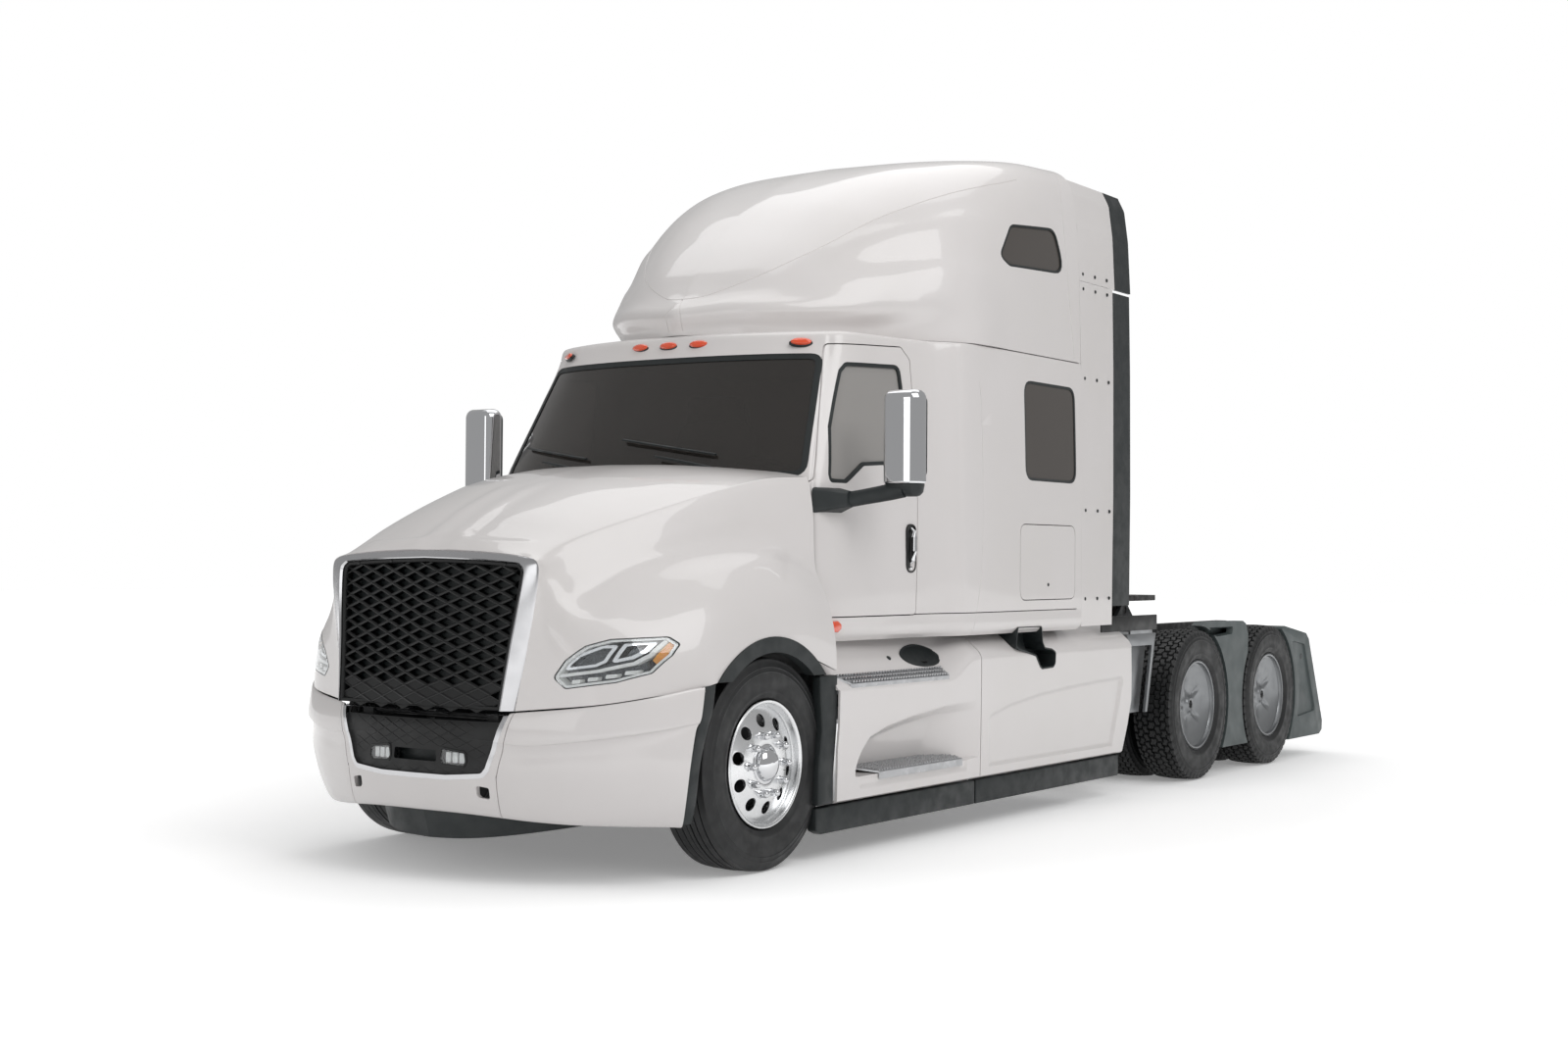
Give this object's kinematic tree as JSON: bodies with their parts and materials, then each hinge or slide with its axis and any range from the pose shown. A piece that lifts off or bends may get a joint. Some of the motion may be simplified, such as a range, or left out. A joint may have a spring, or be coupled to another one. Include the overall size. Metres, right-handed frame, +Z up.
{
  "type": "semi truck tractor unit",
  "caption": "Conventional road tractor with high-roof sleeper cab, steered front axle, tandem drive axles and a fifth-wheel coupling; hood, doors, luggage doors and wheels move.",
  "frame": {"origin": "on the ground, at half the length and half the width", "axes": "+X forward along the length, +Y to the tractor's left, +Z up"},
  "size_m": [8.7, 3.046, 3.9],
  "materials": {
    "white_paint": "gloss",
    "chassis_paint": "satin",
    "dark_plastic": "matte",
    "grey_plastic": "matte",
    "amber_lens": "gloss",
    "radiator_core": "matte",
    "engine_iron": "matte",
    "floor_panel": "matte",
    "tinted_glass": "gloss",
    "side_glass": "gloss",
    "tread_aluminium": "brushed",
    "polished_aluminium": "polished",
    "interior_plastic": "matte",
    "seat_fabric": "matte",
    "black_grille": "gloss",
    "bright_trim": "polished",
    "lamp_lens": "gloss",
    "coupling_steel": "satin",
    "tyre_rubber": "matte",
    "wheel_aluminium": "polished"
  },
  "bodies": {
    "chassis": {"frame_rails": "chassis_paint", "front_bumper": "white_paint", "lower_trims": "dark_plastic", "body_lamps": "amber_lens", "radiator": "radiator_core", "engine_block": "engine_iron", "driveline": "chassis_paint", "cab_floor": "floor_panel", "cab_cowl": "white_paint", "cab_roof": "white_paint", "cab_glass": "tinted_glass", "sleeper_side_left": "white_paint", "sleeper_side_right": "white_paint", "sleeper_back": "white_paint", "roof_cap": "white_paint", "side_extenders": "white_paint", "extender_edges": "dark_plastic", "side_fairings": "white_paint", "step_treads": "tread_aluminium", "fuel_tanks": "polished_aluminium", "front_axle": "chassis_paint", "suspension": "chassis_paint", "drive_axles": "chassis_paint", "deck_plate": "tread_aluminium", "drive_fenders": "grey_plastic", "fifth_wheel_base": "chassis_paint", "dashboard": "interior_plastic", "seats": "seat_fabric", "wipers": "dark_plastic"},
    "hood": {"hood": "white_paint", "grille": "black_grille", "grille_surround": "bright_trim", "headlamps": "lamp_lens", "arch_trims": "dark_plastic"},
    "fifth_wheel": {"fifth_wheel_plate": "coupling_steel"},
    "tie_rod": {"tie_rod": "chassis_paint"},
    "door_left": {"door_left": "white_paint", "door_glass_left": "side_glass", "mirror_left": "bright_trim"},
    "luggage_door_left": {"luggage_door_left": "white_paint"},
    "knuckle_left": {"knuckle_left": "chassis_paint"},
    "front_wheel_left": {"tyre_front_left": "tyre_rubber", "wheel_front_left": "wheel_aluminium"},
    "mid_wheels_left": {"tyres_mid_left": "tyre_rubber", "wheels_mid_left": "wheel_aluminium"},
    "rear_wheels_left": {"tyres_rear_left": "tyre_rubber", "wheels_rear_left": "wheel_aluminium"},
    "door_right": {"door_right": "white_paint", "door_glass_right": "side_glass", "mirror_right": "bright_trim"},
    "luggage_door_right": {"luggage_door_right": "white_paint"},
    "knuckle_right": {"knuckle_right": "chassis_paint"},
    "front_wheel_right": {"tyre_front_right": "tyre_rubber", "wheel_front_right": "wheel_aluminium"},
    "mid_wheels_right": {"tyres_mid_right": "tyre_rubber", "wheels_mid_right": "wheel_aluminium"},
    "rear_wheels_right": {"tyres_rear_right": "tyre_rubber", "wheels_rear_right": "wheel_aluminium"}
  },
  "joints": [
    {"name": "steer_left", "type": "hinge", "parent": "chassis", "child": "knuckle_left", "pos_m": [3.18, 0.87, 0.507], "axis": [0, 0, 1], "range_deg": [-40, 40]},
    {"name": "steer_right", "type": "hinge", "parent": "chassis", "child": "knuckle_right", "pos_m": [3.18, -0.87, 0.507], "axis": [0, 0, 1], "range_deg": [-40, 40]},
    {"name": "tie_rod_swing", "type": "hinge", "parent": "knuckle_left", "child": "tie_rod", "pos_m": [2.98, 0.87, 0.345], "axis": [0, 0, 1], "range_deg": [-40, 40]},
    {"name": "front_wheel_left_spin", "type": "hinge", "parent": "knuckle_left", "child": "front_wheel_left", "pos_m": [3.18, 1.028, 0.507], "axis": [0, 1, 0], "continuous": true},
    {"name": "mid_wheels_left_spin", "type": "hinge", "parent": "chassis", "child": "mid_wheels_left", "pos_m": [-1.89, 0.9175, 0.507], "axis": [0, 1, 0], "continuous": true},
    {"name": "rear_wheels_left_spin", "type": "hinge", "parent": "chassis", "child": "rear_wheels_left", "pos_m": [-3.21, 0.9175, 0.507], "axis": [0, 1, 0], "continuous": true},
    {"name": "door_left_swing", "type": "hinge", "parent": "chassis", "child": "door_left", "pos_m": [2.663, 1.088, 1.29], "axis": [0, 0, -1], "range_deg": [0, 70]},
    {"name": "luggage_door_left_swing", "type": "hinge", "parent": "chassis", "child": "luggage_door_left", "pos_m": [0.733, 1.223, 1.465], "axis": [0, 0, -1], "range_deg": [0, 90]},
    {"name": "front_wheel_right_spin", "type": "hinge", "parent": "knuckle_right", "child": "front_wheel_right", "pos_m": [3.18, -1.028, 0.507], "axis": [0, 1, 0], "continuous": true},
    {"name": "mid_wheels_right_spin", "type": "hinge", "parent": "chassis", "child": "mid_wheels_right", "pos_m": [-1.89, -0.9175, 0.507], "axis": [0, 1, 0], "continuous": true},
    {"name": "rear_wheels_right_spin", "type": "hinge", "parent": "chassis", "child": "rear_wheels_right", "pos_m": [-3.21, -0.9175, 0.507], "axis": [0, 1, 0], "continuous": true},
    {"name": "door_right_swing", "type": "hinge", "parent": "chassis", "child": "door_right", "pos_m": [2.663, -1.088, 1.29], "axis": [0, 0, 1], "range_deg": [0, 70]},
    {"name": "luggage_door_right_swing", "type": "hinge", "parent": "chassis", "child": "luggage_door_right", "pos_m": [0.733, -1.223, 1.465], "axis": [0, 0, 1], "range_deg": [0, 90]},
    {"name": "hood_tilt", "type": "hinge", "parent": "chassis", "child": "hood", "pos_m": [4.305, 0, 0.778], "axis": [0, 1, 0], "range_deg": [0, 75]},
    {"name": "fifth_wheel_pitch", "type": "hinge", "parent": "chassis", "child": "fifth_wheel", "pos_m": [-2.42, 0, 1.12], "axis": [0, 1, 0], "range_deg": [-12, 12]}
  ],
  "couplings": [
    {"joint": "steer_right", "follows": "steer_left", "ratio": 1},
    {"joint": "tie_rod_swing", "follows": "steer_left", "ratio": -1}
  ]
}
